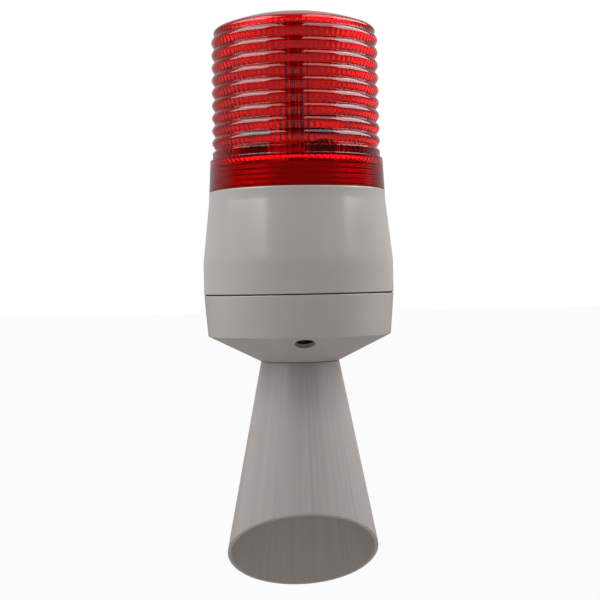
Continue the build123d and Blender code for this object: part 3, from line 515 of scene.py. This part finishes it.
laminations, tree = empty_tree("varnished_laminations")
sheets = noise(tree, 0.5, 0.0, stretch=(0.01, 1, 0.01))
surface(
    tree,
    {"Metallic": 0.6},
    {
        "Base Color": blended(tree, sheets, "#2c2c30", "#4a4a4f"),
        "Roughness": between(tree, sheets, 0.4, 0.6),
        "Normal": bumped(tree, sheets, 0.05),
    },
)
dress(laminations, "transformer_core")

tape, tree = empty_tree("yellow_polyester_tape")
wraps = noise(tree, 1.0, 1.0, stretch=(0.05, 0.05, 1))
surface(
    tree,
    {"IOR": 1.6, "Coat Weight": 0.6},
    {
        "Base Color": blended(tree, wraps, "#b98f1c", "#d6ad35"),
        "Roughness": between(tree, wraps, 0.2, 0.35),
        "Normal": bumped(tree, wraps, 0.05),
    },
)
dress(tape, "transformer_winding")

anodised, tree = empty_tree("black_anodised_aluminium")
drawn = noise(tree, 0.6, 1.0, stretch=(1, 1, 0.03))
surface(
    tree,
    {"Metallic": 0.85},
    {
        "Base Color": blended(tree, drawn, "#1b1b1d", "#2b2b2e"),
        "Roughness": between(tree, drawn, 0.35, 0.5),
        "Normal": bumped(tree, drawn, 0.02),
    },
)
dress(anodised, "heat_sink")

nylon, tree = empty_tree("green_glass_filled_nylon")
fibres = noise(tree, 0.7, 3.0)
surface(
    tree,
    {"IOR": 1.53},
    {
        "Base Color": blended(tree, fibres, "#2b6f3c", "#37834a"),
        "Roughness": between(tree, fibres, 0.35, 0.5),
        "Normal": bumped(tree, fibres, 0.02),
    },
)
dress(nylon, "terminal_block")

acetal, tree = empty_tree("white_acetal")
soft = noise(tree, 1.5)
surface(
    tree,
    {"IOR": 1.48, "Subsurface Weight": 0.1, "Subsurface Scale": 0.5 * MM},
    {
        "Base Color": blended(tree, soft, "#dedcd4", "#e9e7e0"),
        "Roughness": between(tree, soft, 0.3, 0.42),
    },
)
dress(acetal, "volume_knob", "tone_slider")

# ---------------------------------------------------------------- can capacitors
# Aluminium cans in a shrunk black PVC sleeve. The sleeve leaves the top bare but for its rolled rim,
# and the can is rolled in near its foot to grip the bung.
CAN_SIDES = 48
CAN_GROOVE = ((0.1, 1.0), (0.125, 0.955), (0.15, 0.955), (0.175, 1.0))  # share of height, squeeze
SLEEVE_RIM = 0.14  # share of the radius
BARE_TOP = 0.84
TOP_SUNK = 0.0003

sleeve, tree = empty_tree("shrunk_black_pvc_sleeve")
wrinkle = noise(tree, 4.0, 2.0, stretch=(1, 1, 0.3))
surface(
    tree,
    {"IOR": 1.54, "Coat Weight": 0.4, "Coat Roughness": 0.1},
    {
        "Base Color": blended(tree, wrinkle, "#101113", "#1a1b1e"),
        "Roughness": between(tree, wrinkle, 0.2, 0.32),
        "Normal": bumped(tree, wrinkle, 0.06),
    },
)
can_top, tree = empty_tree("bare_pressed_aluminium")
pressed = noise(tree, 0.5, 2.0)
surface(
    tree,
    {"Metallic": 1.0},
    {
        "Base Color": blended(tree, pressed, "#54565a", "#66686c"),
        "Roughness": between(tree, pressed, 0.35, 0.5),
    },
)


def selected_faces(piece, wanted):
    """Selects the faces of the piece in edit mode that pass a test on centre and normal."""
    bpy.ops.mesh.select_all(action="DESELECT")
    bpy.ops.object.mode_set(mode="OBJECT")
    for face in piece.data.polygons:
        face.select = wanted(face.center, face.normal)
    bpy.ops.object.mode_set(mode="EDIT")


def can(name, x, y, radius, bottom, top, up):
    """One can, centred at x and y, that stands on bottom or hangs from top."""
    height = top - bottom
    foot, head = (bottom, top) if up else (top, bottom)
    sense = 1 if up else -1
    bpy.ops.object.select_all(action="DESELECT")
    bpy.ops.mesh.primitive_cylinder_add(vertices=CAN_SIDES, radius=radius, depth=height)
    piece = bpy.context.object
    piece.name = piece.data.name = name
    piece.location = (x, y, (bottom + top) / 2)
    bpy.ops.object.transform_apply(location=True, rotation=False, scale=False)
    bpy.ops.object.mode_set(mode="EDIT")
    # the groove rolled in near the foot
    for share, squeeze in CAN_GROOVE:
        at = foot + sense * share * height
        bpy.ops.mesh.select_all(action="SELECT")
        bpy.ops.mesh.bisect(plane_co=(x, y, at), plane_no=(0, 0, 1))
        bpy.ops.transform.resize(value=(squeeze, squeeze, 1), center_override=(x, y, at))
    # the sleeve's rolled rim round the bare top
    selected_faces(piece, lambda centre, normal: normal.z * sense > 0.9)
    bpy.ops.mesh.inset(thickness=SLEEVE_RIM * radius)
    bpy.ops.mesh.extrude_region_move(TRANSFORM_OT_translate={"value": (0, 0, -sense * TOP_SUNK)})
    bpy.ops.object.mode_set(mode="OBJECT")
    rounded(piece, 0.35, 3, angle=50)
    piece.data.materials.append(sleeve)
    piece.data.materials.append(can_top)
    for face in piece.data.polygons:
        inner = Vector((face.center.x - x, face.center.y - y)).length < BARE_TOP * radius
        if inner and face.normal.z * sense > 0.9:
            face.material_index = 1
    return piece


def cans(name, cad_name, places_mm, radius, up):
    """Like cans at places beside the siren's axis, joined as one piece for one CAD node."""
    low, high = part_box(cad_name)
    made = []
    for at, (x, y) in enumerate(places_mm):
        made.append(can(f"{name}_{at}", x * MM, AXIS.y + y * MM, radius, low.z, high.z, up))
    bpy.ops.object.select_all(action="DESELECT")
    for piece in made:
        piece.select_set(True)
    bpy.context.view_layer.objects.active = made[0]
    bpy.ops.object.join()
    made[0].name = made[0].data.name = name
    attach(made[0], "housing")
    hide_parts(cad_name)


# three large cans stand on the lamp's board, and three small ones hang from the control board
flash_places = ((-33, -24), (17, -34), (45, 4))
supply_places = ((8, 28), (22, 26), (16, 12))
cans("sleeved_flash_capacitors", "flash_capacitors", flash_places, radius=11 * MM, up=True)
cans("sleeved_supply_capacitors", "capacitors", supply_places, radius=6 * MM, up=False)

# ---------------------------------------------------------------- LEDs
# Surface-mounted LEDs on the four strips of the column: a white ceramic body under a clear silicone
# dome, tinted yellow by the phosphor.
phosphor, tree = empty_tree("silicone_over_phosphor")
lump = noise(tree, 1.0)
surface(
    tree,
    {"IOR": 1.41, "Coat Weight": 0.8, "Subsurface Weight": 0.2, "Subsurface Scale": 0.5 * MM},
    {
        "Base Color": blended(tree, lump, "#e2d88a", "#efe8b4"),
        "Roughness": between(tree, lump, 0.12, 0.2),
    },
)
dress(phosphor, "leds")

# ---------------------------------------------------------------- lens
# Cap of clear red polycarbonate, injection moulded. Nine rings outside and flutes down the inside
# break the flash up into points of light. A coarse thread in the collar holds it, drawn as level
# grooves.
COLLAR_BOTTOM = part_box("lens")[0].z / MM
CROWN_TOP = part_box("lens")[1].z / MM
COLLAR_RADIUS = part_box("lens")[1].x / MM
COLLAR_BORE = 66.3
COLLAR_TOP = 69.4
COLLAR_FACE = ((69.34, 46.2), (68.26, 67.8), (68.2, COLLAR_TOP - 0.4))  # radius, height
BAND_RADIUS = 66.2
BAND_TOP = 75.0
BAND_EDGE = 1.1
INNER_RADIUS = 61.2
INNER_TOP = 167.0
RINGS = 9
RING_PITCH = 9.9
FIRST_RING = 83.4
VALLEY_RADIUS = 63.5
VALLEY_DROP = 5.8
RING_TAPER = 0.085
RING_SHAPE = ((-2.2, 2.3), (-0.8, 2.9), (0.2, 2.85), (1.6, 2.3), (3.0, 1.25), (4.1, 0))  # rise, reach
CROWN_SHOULDER = ((63.9, 169.2), (63.7, 170.5), (62.7, 171.8), (61.0, 172.9))  # radius, height
CROWN_EDGE = (58.4, 173.9)
CROWN_UNDER_EDGE = (56.0, 172.0)
CROWN_THICKNESS = 2.6
CROWN_STEPS = 10
UNDER_SHOULDER = ((58.4, 171.1), (60.0, 169.6), (INNER_RADIUS - 0.4, INNER_TOP))
BORE_STEP = 2
COLLAR_STEP = 5
THREAD_PITCH = 4.0
THREAD_TURNS = 5
THREAD_TOP = 6.5
THREAD_DEPTH = 0.5
GROOVE_SHAPE = ((1.3, 0), (0.5, THREAD_DEPTH), (-0.5, THREAD_DEPTH), (-1.2, 0))  # rise, depth
FLUTES = 84
FLUTE_DEPTH = 0.28
FLUTE_START = COLLAR_TOP - 3
FLUTE_SLACK = 0.1


def outline(name, points):
    """A closed outline beside the siren's axis, extruded through (radius, height) in millimetres."""
    bpy.ops.object.select_all(action="DESELECT")
    bpy.ops.mesh.primitive_plane_add(size=MM)
    piece = bpy.context.object
    piece.name = piece.data.name = name
    bpy.ops.object.mode_set(mode="EDIT")
    bpy.ops.mesh.merge(type="CENTER")
    spots = [AXIS + Vector((radius, 0, height)) * MM for radius, height in points]
    bpy.ops.transform.translate(value=spots[0])
    for here, there in zip(spots, spots[1:] + spots[:1]):
        bpy.ops.mesh.extrude_region_move(TRANSFORM_OT_translate={"value": there - here})
    bpy.ops.mesh.select_all(action="SELECT")
    bpy.ops.mesh.remove_doubles(threshold=0.001 * MM)
    return piece


def spun(piece, steps):
    """Spins the outline in edit mode once round the siren's axis and closes it."""
    bpy.ops.mesh.spin(steps=steps, angle=2 * pi, center=AXIS, axis=(0, 0, 1))
    bpy.ops.mesh.select_all(action="SELECT")
    bpy.ops.mesh.remove_doubles(threshold=0.001 * MM)
    bpy.ops.mesh.normals_make_consistent(inside=False)
    bpy.ops.object.mode_set(mode="OBJECT")


def dome(edge_radius, edge_height, top, steps):
    """Points of a spherical cap from its edge to its top."""
    sag = top - edge_height
    sphere = (edge_radius**2 + sag**2) / (2 * sag)
    reach = atan2(edge_radius, sphere - sag)
    swings = [reach * (1 - step / steps) for step in range(steps + 1)]
    return [(sphere * sin(swing), top - sphere * (1 - cos(swing))) for swing in swings]


# up the collar and the band, over the rings and the crown, and back down inside
lens_points = [(COLLAR_BORE, COLLAR_BOTTOM), (COLLAR_RADIUS, COLLAR_BOTTOM), *COLLAR_FACE]
band_heights = (COLLAR_TOP, COLLAR_TOP + BAND_EDGE, BAND_TOP - BAND_EDGE, BAND_TOP)
lens_points += [(BAND_RADIUS, height) for height in band_heights]
lens_points.append((VALLEY_RADIUS, FIRST_RING - VALLEY_DROP))
for ring in range(RINGS):
    crest = FIRST_RING + ring * RING_PITCH
    valley = VALLEY_RADIUS - ring * RING_TAPER
    lens_points += [(valley + reach, crest + rise) for rise, reach in RING_SHAPE]
lens_points += CROWN_SHOULDER
lens_points += dome(*CROWN_EDGE, CROWN_TOP, CROWN_STEPS)
lens_points += reversed(dome(*CROWN_UNDER_EDGE, CROWN_TOP - CROWN_THICKNESS, CROWN_STEPS))
lens_points += UNDER_SHOULDER
lens_points += [(INNER_RADIUS, COLLAR_TOP - BORE_STEP), (COLLAR_BORE, COLLAR_TOP - COLLAR_STEP)]
for turn in range(THREAD_TURNS):
    groove = COLLAR_TOP - THREAD_TOP - turn * THREAD_PITCH
    lens_points += [(COLLAR_BORE + depth, groove + rise) for rise, depth in GROOVE_SHAPE]
lens = outline("fluted_lens", lens_points)
spun(lens, 4 * FLUTES)

# each flute takes four steps of the spin: one line of corners is pushed in and one is pulled out
bpy.ops.object.mode_set(mode="EDIT")
for quarter, push in ((0, -FLUTE_DEPTH), (2, FLUTE_DEPTH)):
    bpy.ops.mesh.select_all(action="DESELECT")
    bpy.ops.object.mode_set(mode="OBJECT")
    for corner in lens.data.vertices:
        spot = (corner.co - AXIS) / MM
        around_axis = round(atan2(spot.y, spot.x) / (2 * pi) * 4 * FLUTES)
        on_bore = spot.xy.length < INNER_RADIUS + FLUTE_SLACK
        along = FLUTE_START < spot.z < INNER_TOP + FLUTE_SLACK
        corner.select = on_bore and along and around_axis % 4 == quarter
    bpy.ops.object.mode_set(mode="EDIT")
    scale = 1 + push / INNER_RADIUS
    bpy.ops.transform.resize(value=(scale, scale, 1), center_override=AXIS)
bpy.ops.object.mode_set(mode="OBJECT")
rounded(lens, 0.7, 3, angle=35)

# Polycarbonate: IOR 1.585, glossy from a polished mould. Lamps shine through it with its red tint,
# so that what stands inside is lit.
polycarbonate, tree = empty_tree("clear_red_polycarbonate")
body_shader = node(
    tree,
    "ShaderNodeBsdfPrincipled",
    {"Base Color": linear("#c6060b"), "Transmission Weight": 1.0, "Roughness": 0.02, "IOR": 1.585},
)
passing = node(tree, "ShaderNodeBsdfTransparent", {"Color": linear("#dc2a24")})
ray = node(tree, "ShaderNodeLightPath")
either = node(
    tree,
    "ShaderNodeMixShader",
    links={0: ray.outputs["Is Shadow Ray"], 1: body_shader.outputs[0], 2: passing.outputs[0]},
)
node(tree, "ShaderNodeOutputMaterial", links={"Surface": either.outputs[0]})
fitted(lens, polycarbonate, "lens", "lens_red", "lens")
